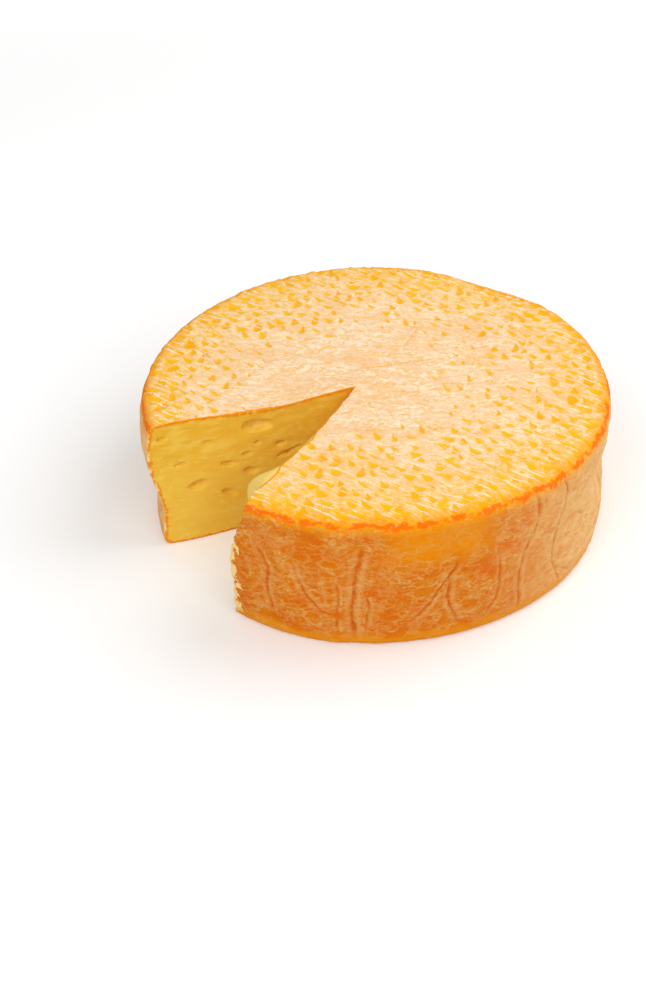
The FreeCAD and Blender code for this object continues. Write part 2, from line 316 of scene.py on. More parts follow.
# Sharp creases of the side as (half-width, strength, [(angle, height), ...]).
sideCreases = [
    (0.50, 0.8, [(-121.6, 42.7), (-119.7, 37), (-118.1, 31), (-118.5, 21), (-117.7, 10)]),
    (0.45, 0.7, [(-112.1, 38), (-110.9, 30), (-108.5, 23), (-105.3, 17), (-101.3, 15)]),
    (0.65, 1.0, [(-95.8, 48), (-97, 37), (-97.8, 30), (-98.3, 16), (-98.0, 3)]),
    (0.35, 0.7, [(-101.6, 33), (-101.5, 20), (-101.8, 6)]),
    (0.40, 0.7, [(-95, 26), (-94.6, 18), (-95, 10)]),
    (0.45, 0.9, [(-73.9, 38), (-75, 34), (-77.5, 28), (-82.2, 17), (-85, 12)]),
    (0.50, 0.8, [(-75.5, 31), (-76.3, 23), (-75.9, 17), (-74.3, 11), (-72.7, 7)]),
    (0.40, 0.7, [(-63.5, 35), (-63.1, 23), (-63.9, 15), (-67.1, 7)]),
    (0.55, 1.0, [(-53.6, 57), (-52.8, 51), (-52.4, 45), (-53.6, 39), (-56.8, 31), (-57.6, 23), (-57.6, 16),
                 (-56.4, 2)]),
    (0.55, 1.0, [(-44.8, 57), (-42.8, 51), (-43.6, 41), (-45.6, 32), (-46.8, 23), (-46.4, 18), (-42.4, 3)]),
    (0.40, 0.6, [(-46.0, 16), (-40, 8), (-38.5, 5)]),
    (0.45, 0.6, [(-36.5, 33), (-33, 27), (-29, 26), (-27.5, 31)]),
    (0.60, 0.8, [(-14.6, 50), (-17.6, 33), (-15, 22), (-11.5, 12)]),
]

# Creases and hair lines of the top as (half-width, strength, [(x, y), ...]), from the axis.
topCreases = [
    (0.55, 0.6, [(19, 40), (15, 31), (11, 20)]),
    (0.55, 0.6, [(-44, 50), (-38, 42), (-32, 36)]),
    (0.45, 0.9, [(-80, 35), (-72, 27), (-65, 20), (-61, 14)]),
    (0.40, 0.9, [(-7, 8), (4, 10), (14, 13), (25, 15)]),
    (0.40, 0.7, [(-17, -30), (-8, -34), (2, -35)]),
    (0.40, 0.7, [(11, -33), (20, -35), (29, -34)]),
    (0.35, 0.7, [(2, -8), (14, -9), (24, -6)]),
    (0.35, 0.7, [(30, 24), (38, 22), (47, 23)]),
    (0.35, 0.6, [(-30, 30), (-20, 33), (-9, 33)]),
]


def backCreases():
    # the side goes on round the back with creases of the same kinds
    dice = random.Random(11)
    more = []
    for number in range(10):
        angle = 4 + 16.5 * number + dice.uniform(-5.0, 5.0)
        top = dice.uniform(36, 57)
        foot = dice.uniform(3, 16)
        lean = dice.uniform(-4, 4)
        path = [(angle, top), (angle + lean * 0.3 + 0.8, top - 8), (angle + lean * 0.7, (top + foot) / 2),
                (angle + lean, foot)]
        more.append((dice.uniform(0.35, 0.65), dice.uniform(0.3, 0.75), path))
    return more


def copyNode(node, name):
    # a copy of a CAD node as one closed skin
    pickOnly(node)
    bpy.ops.object.duplicate()
    copy = bpy.context.object
    copy.name = name
    bpy.ops.object.mode_set(mode="EDIT")
    bpy.ops.mesh.select_all(action="SELECT")
    bpy.ops.mesh.remove_doubles(threshold=0.01 * mm)
    bpy.ops.object.mode_set(mode="OBJECT")
    return copy


def findCut(guide):
    # picks the rind by walking over all faces from the top one without crossing a sharp edge;
    # gives the faces of the rind and points along the edge between rind and paste
    pickOnly(guide)
    bpy.ops.object.mode_set(mode="EDIT")
    bpy.context.tool_settings.mesh_select_mode = (False, False, True)
    bpy.ops.mesh.select_all(action="DESELECT")
    bpy.ops.object.mode_set(mode="OBJECT")
    topFace = max(guide.data.polygons, key=lambda face: face.center.z)
    topFace.select = True
    bpy.ops.object.mode_set(mode="EDIT")
    bpy.ops.mesh.faces_select_linked_flat(sharpness=math.radians(wheel["cutAngle"]))
    bpy.ops.object.mode_set(mode="OBJECT")
    rindFaces = [face.select for face in guide.data.polygons]
    skin = bmesh.new()
    skin.from_mesh(guide.data)
    points = []
    for edge in skin.edges:
        if len(edge.link_faces) == 2 and edge.link_faces[0].select != edge.link_faces[1].select:
            start, end = (vertex.co for vertex in edge.verts)
            steps = max(1, int((end - start).length / (0.3 * mm)))
            points += [start.lerp(end, step / steps) for step in range(steps)]
    skin.free()
    return rindFaces, points


def readPlaces(piece):
    places = np.empty(len(piece.data.vertices) * 3, np.float32)
    piece.data.vertices.foreach_get("co", places)
    return places.reshape(-1, 3).astype(float)


def writeMark(piece, name, values):
    kind, field = ("FLOAT_VECTOR", "vector") if values.ndim == 2 else ("FLOAT", "value")
    old = piece.data.attributes.get(name)
    if old:
        piece.data.attributes.remove(old)
    mark = piece.data.attributes.new(name, kind, "POINT")
    mark.data.foreach_set(field, values.astype(np.float32).ravel())


def aroundTable(table, angles, column=1):
    return np.interp(angles, [row[0] for row in table], [row[column] for row in table], period=360.0)


def pathDistance(points, path):
    # distance from each point to a bent line, below 0 on its right, and how far along the line the nearest
    # place is, from 0 to 1
    path = np.array(path, float)
    lengths = np.hypot(*(path[1:] - path[:-1]).T)
    before = np.concatenate([[0.0], np.cumsum(lengths)])
    nearest = np.full(len(points), 1e9)
    along = np.zeros(len(points))
    for number, length in enumerate(lengths):
        start, way = path[number], path[number + 1] - path[number]
        share = np.clip(((points - start) @ way) / length**2, 0.0, 1.0)
        off = points - start - share[:, None] * way
        away = np.hypot(*off.T) * np.where(way[0] * off[:, 1] < way[1] * off[:, 0], -1.0, 1.0)
        closer = np.abs(away) < np.abs(nearest)
        nearest = np.where(closer, away, nearest)
        along = np.where(closer, (before[number] + share * length) / before[-1], along)
    return nearest, along


# How a crease swings from side to side, as (size, length) in mm, and how soon it fades at its ends.
creaseWaves = [(0.25, 3.1), (0.12, 1.3), (0.07, 0.6)]
creaseFade = 0.12


def nearestCrease(points, creases):
    # for each point the nearest crease: how far off it lies, counted in half-widths, and how strong it is
    way = np.full(len(points), 99.0)
    force = np.zeros(len(points))
    for number, (halfWidth, strength, path) in enumerate(creases):
        level = points[:, 1]
        swing = sum(size * np.sin(level / length + (order + 1) * number)
                    for order, (size, length) in enumerate(creaseWaves))
        moved = points + np.stack([swing, 0.3 * swing], axis=1)
        away, along = pathDistance(moved, path)
        ends = np.clip(np.minimum(along, 1.0 - along) / creaseFade, 0.0, 1.0)
        closer = np.abs(away / halfWidth) < np.abs(way)
        way = np.where(closer, away / halfWidth, way)
        force = np.where(closer, strength * ends, force)
    return way, force


def measureRim(tree):
    # radius and height of the rim by angle, felt from outside and from above
    middle = Vector((wheel["middle"][0], wheel["middle"][1], 0)) * mm
    radii, heights = [], []
    for angle in range(-180, 180, 3):
        fromGap = abs((angle - wheel["gapMiddle"] + 180) % 360 - 180)
        if fromGap < wheel["gapHalf"] + 3:
            continue
        out = Vector((*heading(angle), 0))
        outside = middle + out * 0.3 + Vector((0, 0, wheel["feelHeight"] * mm))
        radius = (tree.ray_cast(outside, -out)[0] - middle).xy.length
        above = middle + out * (radius - wheel["feelInside"] * mm) + Vector((0, 0, 0.2))
        radii.append((angle, radius / mm))
        heights.append((angle, tree.ray_cast(above, Vector((0, 0, -1)))[0].z / mm))
    return radii, heights


def measureCut(piece, tree):
    # how far each vertex lies from the edge between rind and paste, below 0 on the rind
    rindFaces, edgePoints = guideCut
    nearEdge = KDTree(len(edgePoints))
    for number, point in enumerate(edgePoints):
        nearEdge.insert(point, number)
    nearEdge.balance()
    cutWay = np.empty(len(piece.data.vertices))
    for number, vertex in enumerate(piece.data.vertices):
        side = -1.0 if rindFaces[tree.find_nearest(vertex.co)[2]] else 1.0
        cutWay[number] = side * nearEdge.find(vertex.co)[2] / mm
    return cutWay


# How wide the paste has crept over the top's edge at the right wall, in waves of (size, length), and from
# where to where along the wall, all in mm.
creep = {
    "width": 1.5,
    "waves": [(0.5, 5.0), (0.3, 1.9)],
    "start": 8.0,
    "rise": 14.0,
    "end": 76.0,
    "fall": 8.0,
}


def markPaste(piece, tree, x, y, z, radius):
    # whatever stands in the gap, out of both walls, is paste as well, such as the soft lip of the right wall,
    # though no sharp edge parts it from the rind
    cutWay = measureCut(piece, tree)
    fromApexX, fromApexY = x - wheel["apex"][0], y - wheel["apex"][1]
    ways = []
    for wall, side in (("leftWall", 1.0), ("rightWall", -1.0)):
        stepX, stepY = heading(wheel[wall])
        ways.append(side * (fromApexY * stepX - fromApexX * stepY))
    outOfLeft, outOfRight = ways
    inner = radius < wheel["lipEnd"]
    standing = np.where(inner, np.minimum(outOfLeft, outOfRight), wheel["outside"])
    cutWay = np.maximum(cutWay, standing)
    # the paste has also crept a little way over the top's edge there
    fromApex = np.hypot(fromApexX, fromApexY)
    crept = creep["width"]
    for size, length in creep["waves"]:
        crept = crept + size * np.sin(fromApex / length)
    crept = crept * np.clip((fromApex - creep["start"]) / creep["rise"], 0.0, 1.0)
    crept = crept * np.clip((creep["end"] - fromApex) / creep["fall"], 0.0, 1.0)
    atRight = outOfLeft > outOfRight + 1.0
    creeping = atRight & (outOfLeft > 0.0) & inner & (z > wheel["topStart"])
    outOfRight = outOfRight + np.where(creeping, crept, 0.0)
    cutWay = np.maximum(cutWay, np.where(creeping, outOfRight, wheel["outside"]))
    writeMark(piece, "cutWay", cutWay)
    writeMark(piece, "lipWay", np.where(atRight, outOfRight, 0.0))
    # how deep an opening of the left wall lies behind that wall, and where the outer rind bulges past the
    # right wall, because it is torn there
    opened = (cutWay > 1.0) & (outOfRight > 2.0)
    writeMark(piece, "hollow", np.where(opened, np.clip(-outOfLeft, 0.0, 9.0), 0.0))
    writeMark(piece, "tornWay", np.where((radius > wheel["lipEnd"]) & atRight, outOfRight, wheel["outside"]))


def rollOut(angle):
    # how far along the side, in mm, an angle lies from the middle of the gap
    return np.radians((angle - wheel["gapMiddle"]) % 360.0) * wheel["radius"]


def markCheese(piece, guide):
    # writes on the mesh what the relief and the colours are worked out from, all in mm
    tree = BVHTree.FromObject(guide, bpy.context.evaluated_depsgraph_get())
    places = readPlaces(piece) / mm
    x = places[:, 0] - wheel["middle"][0]
    y = places[:, 1] - wheel["middle"][1]
    z = places[:, 2]
    radius = np.hypot(x, y)
    angle = np.degrees(np.arctan2(y, x))
    markPaste(piece, tree, x, y, z, radius)

    radii, heights = measureRim(tree)
    rimWay = (aroundTable(radii, angle) - radius) - (aroundTable(heights, angle) - z)
    writeMark(piece, "rimWay", rimWay)

    rolled = rollOut(angle)
    writeMark(piece, "sideMap", np.stack([rolled, z, radius], axis=1))

    starts = aroundTable(matPrint["reach"], angle)
    full = aroundTable(matPrint["reach"], angle, 2)
    writeMark(piece, "printed", np.clip((radius - starts) / (full - starts), 0.0, 1.0))

    flat = np.stack([rolled, z], axis=1)

    def unroll(path):
        return [(rollOut(turn), height) for turn, height in path]

    creases = [(width, strength, unroll(path)) for width, strength, path in sideCreases + backCreases()]
    way, force = nearestCrease(flat, creases)
    onSide = np.clip((2.0 - rimWay) / 3.0, 0.0, 1.0)
    topWay, topForce = nearestCrease(np.stack([x, y], axis=1), topCreases)
    topForce = topForce * np.clip(z - wheel["topStart"], 0.0, 1.0)
    upper = onSide < 0.5
    writeMark(piece, "creaseWay", np.where(upper, topWay, way))
    writeMark(piece, "creaseForce", np.where(upper, topForce * (1.0 - onSide), force * onSide))
    filled = np.zeros(len(flat))
    for amount, halfWidth, path in foldFills:
        away = pathDistance(flat, unroll(path))[0]
        # 0.69 halves the filling at the half-width
        filled = np.maximum(filled, amount * np.exp(-0.69 * (away / halfWidth) ** 2))
    writeMark(piece, "foldFill", filled * onSide)


def addMatPrint(kind):
    # the mat's print as a node group: Pit is 1 in a pit and Halo round it as well, Thread is 1 on the lines
    # that the mat's threads left, Hatch is 1 on fine pale strokes, and Chance is another number for every pit
    names = ("Pit", "Halo", "Thread", "Hatch", "Chance")
    tree, given, result = newGroup("matPrint" + kind[:8], kind, {"Place": "Vector", "Strength": "Float"},
                                   dict.fromkeys(names, "Float"))
    rowA = Vector(heading(matPrint["rowA"])) * matPrint["pitch"]
    rowB = Vector(heading(matPrint["rowB"])) * matPrint["pitch"]
    cell = rowA.x * rowB.y - rowA.y * rowB.x
    place = given.outputs["Place"]
    strength = given.outputs["Strength"]

    wandered = wander(tree, place, "drift", matPrint["drift"])
    acrossB = dot(tree, wandered, rowB.y / cell, -rowB.x / cell)
    acrossA = dot(tree, wandered, -rowA.y / cell, rowA.x / cell)
    lattice = flatVector(tree, acrossB, acrossA)
    pits = addNode(tree, "ShaderNodeTexVoronoi", {
        "Vector": lattice, "Scale": 1.0, "Randomness": matPrint["scatter"]}, voronoi_dimensions="2D")
    chance = addNode(tree, "ShaderNodeSeparateXYZ", {0: pits.outputs["Color"]}).outputs

    # back from the lattice to mm, turned by chance, then measured along and across the drop
    away = calcVector(tree, "SUBTRACT", lattice, pits.outputs["Position"])
    away = flatVector(tree, dot(tree, away, rowA.x, rowB.x), dot(tree, away, rowA.y, rowB.y))
    turn = multiply(tree, centred(tree, chance[2]), matPrint["askew"])
    turned = addNode(tree, "ShaderNodeVectorRotate", {"Vector": away, "Angle": turn},
                     rotation_type="Z_AXIS").outputs[0]
    dropX, dropY = heading(matPrint["dropAngle"])
    longer = multiply(tree, scaleAdd(tree, chance[1], 0.8, 0.65), matPrint["halfLength"])
    along = calc(tree, "DIVIDE", dot(tree, turned, dropX, dropY), longer)
    across = calc(tree, "DIVIDE", dot(tree, turned, -dropY, dropX), matPrint["halfWidth"])
    widen = calc(tree, "MAXIMUM", scaleAdd(tree, along, matPrint["taper"], 0.75), 0.2)
    across = calc(tree, "DIVIDE", calc(tree, "ABSOLUTE", across), widen)
    power = matPrint["squareness"]
    reach = calc(tree, "ADD", calc(tree, "POWER", calc(tree, "ABSOLUTE", along), power),
                 calc(tree, "POWER", across, power))
    reach = calc(tree, "POWER", reach, 1 / power)
    ragged = centred(tree, cloud(tree, place, "pitEdges"))
    reach = calc(tree, "ADD", reach, multiply(tree, ragged, matPrint["ragged"]))

    # every pit has its own size, and in weak places many are missing
    size = multiply(tree, scaleAdd(tree, strength, 0.60, 0.40), scaleAdd(tree, chance[0], 0.70, 0.65))
    present = scaleAdd(tree, strength, 0.65, multiply(tree, chance[1], 0.9))
    present = multiply(tree, ease(tree, present, 0.50, 0.60), ease(tree, strength, 0.0, 0.1))
    reach = calc(tree, "DIVIDE", reach, size)
    pit = multiply(tree, ease(tree, reach, 1.12, 0.82), present)
    halo = multiply(tree, ease(tree, reach, 1.7, 1.0), present)

    threads = calc(tree, "SUBTRACT", scaleAdd(tree, acrossA, 2.0, acrossB), 1.5 * matPrint["scatter"])
    threads = multiply(tree, awayFrom(tree, calc(tree, "FRACT", threads), 0.5), matPrint["threadGap"])
    threads = calc(tree, "ADD", threads, multiply(tree, ragged, matPrint["threadRagged"]))
    threads = ease(tree, threads, matPrint["threadWidth"], 0.1)
    threads = multiply(tree, threads, cloud(tree, place, "threadWear"), strength)

    stepX, stepY = heading(matPrint["threadAngle"])
    length, width = matPrint["strokeLength"], matPrint["strokeWidth"]
    strokes = flatVector(tree, dot(tree, place, stepX / length, stepY / length),
                         dot(tree, place, -stepY / width, stepX / width))
    for name, value in zip(names, (pit, halo, threads, cloud(tree, strokes, "hatch"), chance[2])):
        tree.links.new(value, result.inputs[name])
    return tree


def usePrint(tree, marks):
    # the print is strongest beside the rim, where the pits run together
    strength = scaleAdd(tree, ease(tree, marks["rimWay"], 17.0, 4.0), 0.6, marks["printed"])
    return useGroup(tree, addMatPrint(tree.bl_idname), {"Place": marks["place"], "Strength": strength})


def readCreases(tree, place):
    # the sharp valley of a crease, deeper here and shallower there, and the soft raised lips beside it
    ragged = centred(tree, cloud(tree, place, "creaseEdges"))
    way = scaleAdd(tree, ragged, 3.6, readMark(tree, "creaseWay"))
    force = readMark(tree, "creaseForce")
    valley = ease(tree, calc(tree, "ABSOLUTE", way), 1.45, 0.25)
    valley = multiply(tree, valley, scaleAdd(tree, cloud(tree, place, "creaseDepth"), 0.6, 0.4))
    lips = []
    for middle, share in ((3.3, 0.9), (-3.0, 0.6)):
        lips.append(multiply(tree, ease(tree, awayFrom(tree, way, middle), 3.0, 0.2), share))
    return multiply(tree, valley, force), multiply(tree, calc(tree, "MAXIMUM", *lips), force)


def addBloomNet(kind):
    # the pale bloom of the side: curly wisps that mostly run round the wheel, and cloudy patches
    tree, given, result = newGroup("bloomNet" + kind[:8], kind, {"Map": "Vector"},
                                   {"Wisp": "Float", "Patch": "Float"})
    place = given.outputs["Map"]
    patch = cloud(tree, place, "patch")
    bent = wander(tree, place, "bend", (6.5, 5.0, 0.0))
    wisps = 0.0
    for cover, stretch, thick in (("wideNet", (6.4, 2.5, 40), 0.20), ("fineNet", (3.3, 1.6, 40), 0.22)):
        cells = addNode(tree, "ShaderNodeTexVoronoi", {"Vector": calcVector(tree, "DIVIDE", bent, stretch),
                                                       "Scale": 1.0}, feature="DISTANCE_TO_EDGE")
        net = multiply(tree, ease(tree, cells.outputs["Distance"], thick, 0.03), cloud(tree, place, cover))
        wisps = calc(tree, "MAXIMUM", wisps, net)
    wisps = calc(tree, "MAXIMUM", wisps, multiply(tree, cloud(tree, place, "flecks"), 0.75))
    wisps = multiply(tree, wisps, scaleAdd(tree, cloud(tree, place, "worn"), 0.5, 0.5))
    tree.links.new(multiply(tree, wisps, scaleAdd(tree, patch, 0.35, 0.65)), result.inputs["Wisp"])
    tree.links.new(patch, result.inputs["Patch"])
    return tree


def useBloom(tree, marks):
    return useGroup(tree, addBloomNet(tree.bl_idname), {"Map": marks["sideMap"]})


def readMarks(tree):
    # the marks and places that both the relief and the colours start from
    marks = {name: readMark(tree, name) for name in ("rimWay", "cutWay", "tornWay", "hollow", "printed")}
    marks["place"] = placeInMm(tree)
    marks["height"] = axis(tree, marks["place"], 2)
    marks["sideMap"] = readMark(tree, "sideMap", vector=True)
    marks["valley"], marks["lips"] = readCreases(tree, marks["place"])
    return marks


# How far each mark lifts or sinks the skin, in mm.
relief = {
    "pit": -0.42, "thread": 0.25, "streak": 0.30, "mottle": 0.35, "swell": 1.0, "rimLumps": 0.9, "wisp": 0.26,
    "sideGrain": 0.45, "crease": -0.75, "creaseLip": 0.22, "smear": 0.30, "rindEdge": 0.25, "edgeTear": 1.3,
    "outerTear": 3.2, "hollowFill": 0.45, "foldFill": 1.0,
}


def addRelief():
    tree, given, result = newGroup("cheeseRelief", "GeometryNodeTree", {"Geometry": "Geometry"},
                                   {"Geometry": "Geometry"})
    marks = readMarks(tree)
    place, rimWay, cutWay, sideMap, height = (
        marks[name] for name in ("place", "rimWay", "cutWay", "sideMap", "height"))
    onTop = multiply(tree, ease(tree, rimWay, -0.5, 2.5), ease(tree, height, 45.0, 52.0))
    onRind = ease(tree, cutWay, 0.2, -0.6)
    onPaste = ease(tree, cutWay, 0.8, 2.2)
    onSide = multiply(tree, ease(tree, rimWay, 0.5, -2.0), onRind)
    offFloor = ease(tree, height, 0.15, 2.5)
    topMask = multiply(tree, onTop, onRind)
    nearRim = between(tree, rimWay, -6.0, -1.0, 1.5, 7.0)
    printed = usePrint(tree, marks)

    def lumps(name, where=place):
        return centred(tree, cloud(tree, where, name))

    parts = [
        ("pit", printed["Pit"], topMask),
        ("thread", printed["Thread"], topMask),
        ("streak", lumps("streak"), topMask),
        ("mottle", lumps("mottle"), topMask),
        ("swell", lumps("swell"), onRind),
        ("rimLumps", lumps("rimLumps"), multiply(tree, nearRim, onRind)),
        ("wisp", useBloom(tree, marks)["Wisp"], onSide),
        ("sideGrain", lumps("sideGrain", sideMap), onSide),
        ("foldFill", readMark(tree, "foldFill"), onSide),
        ("crease", marks["valley"], onRind),
        ("creaseLip", marks["lips"], onRind),
        ("smear", lumps("smear"), onPaste),
        ("hollowFill", marks["hollow"], cloud(tree, place, "hollowFill")),
        ("outerTear", lumps("outerTear"), ease(tree, marks["tornWay"], -2.5, 0.5)),
        ("edgeTear", lumps("edgeTear"), between(tree, cutWay, -1.8, -0.2, 0.2, 1.8)),
        ("rindEdge", between(tree, cutWay, -0.8, 0.2, 0.5, 1.4), 1.0),
    ]
    total = 0.0
    for name, shape, mask in parts:
        total = calc(tree, "ADD", total, multiply(tree, shape, mask, relief[name] * mm))
    total = multiply(tree, total, offFloor)
    normal = tree.nodes.new("GeometryNodeInputNormal").outputs[0]
    away = addNode(tree, "ShaderNodeVectorMath", {0: normal, "Scale": total}, operation="SCALE").outputs[0]
    moved = addNode(tree, "GeometryNodeSetPosition", {"Geometry": given.outputs[0], "Offset": away})
    tree.links.new(moved.outputs[0], result.inputs[0])
    return tree


def makeCheese(guide):
    piece = copyNode(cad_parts["cheese_wheel"], "cheeseWheel")
    applyModifier(piece, "REMESH", mode="VOXEL", voxel_size=wheel["voxel"] * mm)
    applyModifier(piece, "SMOOTH", factor=0.5, iterations=3)
    applyModifier(piece, "SHRINKWRAP", target=guide)
    print("cheese skinned", len(piece.data.polygons))
    markCheese(piece, guide)
    print("cheese marked")
    applyModifier(piece, "NODES", node_group=addRelief())
    # the faces are four-sided here and the thinned ones three-sided
    share = wheel["triangles"] / (2.0 * len(piece.data.polygons))
    applyModifier(piece, "DECIMATE", ratio=share)
    markCheese(piece, guide)
    bpy.ops.object.shade_smooth()
    print("cheese thinned to", len(piece.data.polygons), "triangles")
    return piece


rindColours = {
    "cream": colour(255, 234, 202),
    "peach": colour(251, 203, 138),
    # tan, also painted shade over the top's broad swells
    "tanAndSwellShade": colour(249, 190, 116),
    "golden": colour(254, 196, 66),
    "pit": colour(255, 190, 20),
    "pitDeep": colour(253, 178, 14),
    "pitEdge": colour(254, 202, 88),
    "blush": colour(255, 212, 176),
    "stain": colour(254, 190, 92),
    "thread": colour(255, 240, 214),
    # hair lines, and painted shade in the top's crease valleys
    "hairAndCreaseShade": colour(245, 170, 74),
    "rust": colour(251, 150, 6),
    "rimGold": colour(254, 174, 6),
    "rimRed": colour(250, 112, 2),
    "smear": colour(253, 190, 20),
    # painted shade for the valleys of the side's creases, orange and, towards the cream right, golden
    "creaseShade": colour(208, 96, 4),
    "creaseShadeGold": colour(232, 144, 36),
    "speck": colour(255, 226, 200),
    "sideOrange": colour(216, 114, 0),
    "sideDeep": colour(218, 102, 0),
    "sideGold": colour(236, 142, 0),
    "sideHaze": colour(216, 140, 30),
    "sideBloom": colour(222, 162, 84),
    # the bloom's frost, also used as a painted highlight on the lips beside the creases
    "sideFrostAndHighlight": colour(226, 180, 112),
    "sideCream": colour(252, 212, 142),
    "footGold": colour(236, 150, 14),
}
pasteColours = {
    "rindLine": colour(244, 146, 14),
    "paste": colour(238, 188, 62),
    "pale": colour(246, 204, 84),
    # warm patches, and painted shade towards the apex
    "warm": colour(243, 178, 34),
    # painted shade and painted light of the openings, low down and higher up
    "hollow": colour(232, 154, 34),
    "litHollow": colour(252, 218, 128),
    "bright": colour(255, 222, 116),
    # painted light on the top of the soft lip
    "lip": colour(255, 219, 122),
    "torn": colour(255, 226, 150),
}
# Zones of the top and the side, in mm along the rolled-out side from the middle of the gap, as (middle,
# how far it reaches, how far it is at its fullest), and where the side turns to cream.
zones = {"frontLeft": (48.0, 46.0, 14.0), "right": (245.0, 80.0, 30.0), "golden": (101.7, 27.0, 10.0)}
creamRange = (110.0, 182.0)


def zone(tree, rolled, name):
    middle, reach, full = zones[name]
    return ease(tree, awayFrom(tree, rolled, middle), reach, full)


def topColour(tree, marks):
    # peach and cream streaks under a golden wash that grows towards the rim, then the mat's print; painted
    # shade lies in the valleys of the top's creases
    tones = rindColours
    place, rimWay, printed = marks["place"], marks["rimWay"], marks["printed"]
    rolled = axis(tree, marks["sideMap"], 0)
    frontLeft = zone(tree, rolled, "frontLeft")
    mottle = cloud(tree, place, "topMottle")
    wash = scaleAdd(tree, ease(tree, rimWay, 22.0, 3.0), 0.55, multiply(tree, printed, 0.25))
    wash = scaleAdd(tree, multiply(tree, frontLeft, printed), 0.22, wash)
    wash = multiply(tree, wash, scaleAdd(tree, zone(tree, rolled, "right"), -0.35, 1.0))
    wash = multiply(tree, wash, scaleAdd(tree, ease(tree, mottle, 0.35, 0.62), -0.6, 1.2))
    smears = multiply(tree, cloud(tree, place, "rimSmear"), ease(tree, rimWay, 34.0, 8.0), printed)
    rust = multiply(tree, cloud(tree, place, "rust"), scaleAdd(tree, frontLeft, 0.35, 0.40),
                    ease(tree, rimWay, 17.0, 2.0))
    # hair lines, and painted shade in the valleys of the top's creases
    hairsAndCreaseShade = calc(tree, "MAXIMUM", multiply(tree, cloud(tree, place, "hairs"), 0.55),
                 multiply(tree, marks["valley"], 0.8))
    mat = usePrint(tree, marks)
    pit = multiply(tree, mat["Pit"], scaleAdd(tree, mat["Hatch"], -0.55, 1.0))
    pitTone = blendColours(tree, ease(tree, mat["Chance"], 0.45, 0.9), tones["pit"], tones["pitDeep"])
    top = blendColours(tree, cloud(tree, place, "topStreaks"), tones["peach"], tones["cream"])
    return paintLayers(tree, top, [
        # broad tan clouds, which also serve as painted shade for the top's broad swells
        (cloud(tree, place, "tanAndSwellShade"), 0.55, tones["tanAndSwellShade"]),
        (cloud(tree, place, "blush"), 0.5, tones["blush"]),
        (cloud(tree, place, "stain"), 0.55, tones["stain"]),
        (wash, 1.0, tones["golden"]),
        (ease(tree, mottle, 0.54, 0.66), 0.4, tones["thread"]),
        (smears, 0.9, tones["smear"]),
        (rust, 1.0, tones["rust"]),
        (mat["Hatch"], scaleAdd(tree, printed, 0.45, 0.15), tones["thread"]),
        (hairsAndCreaseShade, 1.0, tones["hairAndCreaseShade"]),
        (mat["Halo"], 0.5, tones["pitEdge"]),
        (pit, 1.0, pitTone),
        (mat["Thread"], 0.65, tones["thread"]),
    ])


def sideColour(tree, marks):
    # orange under a pale bloom, golden under the front of the rim and at the foot, cream towards the right;
    # painted shade in the valleys of the creases and a painted highlight on the lips beside them
    tones = rindColours
    sideMap, height = marks["sideMap"], marks["height"]
    rolled = axis(tree, sideMap, 0)
    deep = cloud(tree, sideMap, "sideDeep")
    golden = multiply(tree, zone(tree, rolled, "golden"),
                      ease(tree, scaleAdd(tree, deep, 14.0, height), 42.0, 50.0))
    creamier = ease(tree, rolled, *creamRange)
    bloom = useBloom(tree, marks)
    frost = multiply(tree, ease(tree, bloom["Wisp"], 0.6, 1.0), 0.55)
    wispTone = blendColours(tree, frost, tones["sideBloom"], tones["sideFrostAndHighlight"])
    wispTone = blendColours(tree, creamier, wispTone, tones["sideCream"])
    # painted shade in the crease valleys
    creaseShadeTone = blendColours(tree, creamier, tones["creaseShade"], tones["creaseShadeGold"])
    side = blendColours(tree, ease(tree, deep, 0.40, 0.64), tones["sideOrange"], tones["sideDeep"])
    return paintLayers(tree, side, [
        (golden, 0.85, tones["sideGold"]),
        (bloom["Patch"], scaleAdd(tree, golden, -0.2, 0.30), tones["sideHaze"]),
        (creamier, scaleAdd(tree, deep, -0.9, 1.0), tones["sideCream"]),
        (bloom["Wisp"], scaleAdd(tree, golden, -0.35, 0.80), wispTone),
        (cloud(tree, sideMap, "dust"), scaleAdd(tree, golden, -0.1, 0.18), tones["sideFrostAndHighlight"]),
        (ease(tree, scaleAdd(tree, deep, 6.0, height), 11.0, 6.0), 0.7, tones["footGold"]),
        # painted highlight on the lips beside the creases, then painted shade in their valleys
        (marks["lips"], 0.45, tones["sideFrostAndHighlight"]),
        (marks["valley"], 0.7, creaseShadeTone),
    ])


def rindColour(tree, marks):
    # top and side meet in the rim: golden lumps with a broken red line and pale specks; the foot carries the
    # print too, under a golden wash
    tones = rindColours
    place, rimWay = marks["place"], marks["rimWay"]
    top = topColour(tree, marks)
    edges = cloud(tree, place, "rimEdges")
    rimShift = scaleAdd(tree, centred(tree, edges), 7.0, rimWay)
    lumpTone = blendColours(tree, ease(tree, edges, 0.42, 0.62), tones["rimGold"], tones["rust"])
    line = multiply(tree, between(tree, rimShift, -3.8, -2.0, -0.6, 0.8), cloud(tree, place, "redLine"))
    specks = multiply(tree, cloud(tree, place, "specks"), between(tree, rimWay, -7.0, -2.0, 2.0, 7.0))
    footTone = blendColours(tree, 0.45, top, tones["footGold"])
    rind = blendColours(tree, ease(tree, rimShift, -1.4, 0.4), sideColour(tree, marks), top)
    return paintLayers(tree, rind, [
        (between(tree, rimShift, -7.0, -1.0, 0.8, 6.0), 0.85, lumpTone),
        (line, 0.9, tones["rimRed"]),
        (specks, 0.3, tones["speck"]),
        (ease(tree, marks["height"], 1.4, 0.3), 1.0, footTone),
    ])


